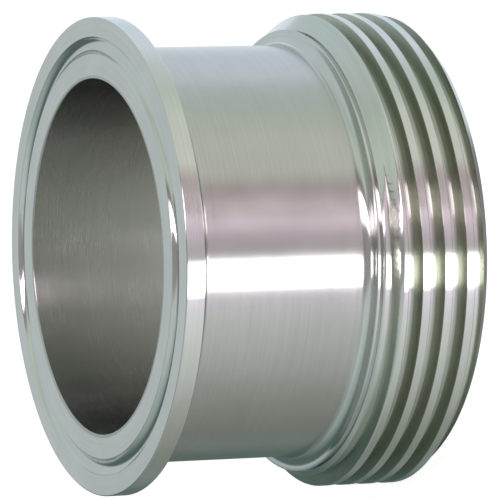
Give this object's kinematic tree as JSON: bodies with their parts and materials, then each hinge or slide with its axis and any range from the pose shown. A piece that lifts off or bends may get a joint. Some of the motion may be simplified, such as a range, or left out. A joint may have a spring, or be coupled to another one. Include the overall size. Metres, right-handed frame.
{
  "type": "sanitary clamp threaded adapter",
  "caption": "Short stainless pipe adapter: a grooved clamp flange on one end of a plain neck, a male trapezoidal union thread on the other, and a straight through bore.",
  "frame": {"origin": "centre of the threaded end's face, on the bore axis", "axes": "+Z along the bore axis, from the threaded end up to the clamp face; +X through the point where the thread begins to run out at the collar"},
  "size_m": [0.064, 0.064, 0.0435],
  "materials": {
    "stainless": "fine turned and brushed"
  },
  "bodies": {
    "root": {"adapter_body": "stainless"}
  },
  "joints": []
}
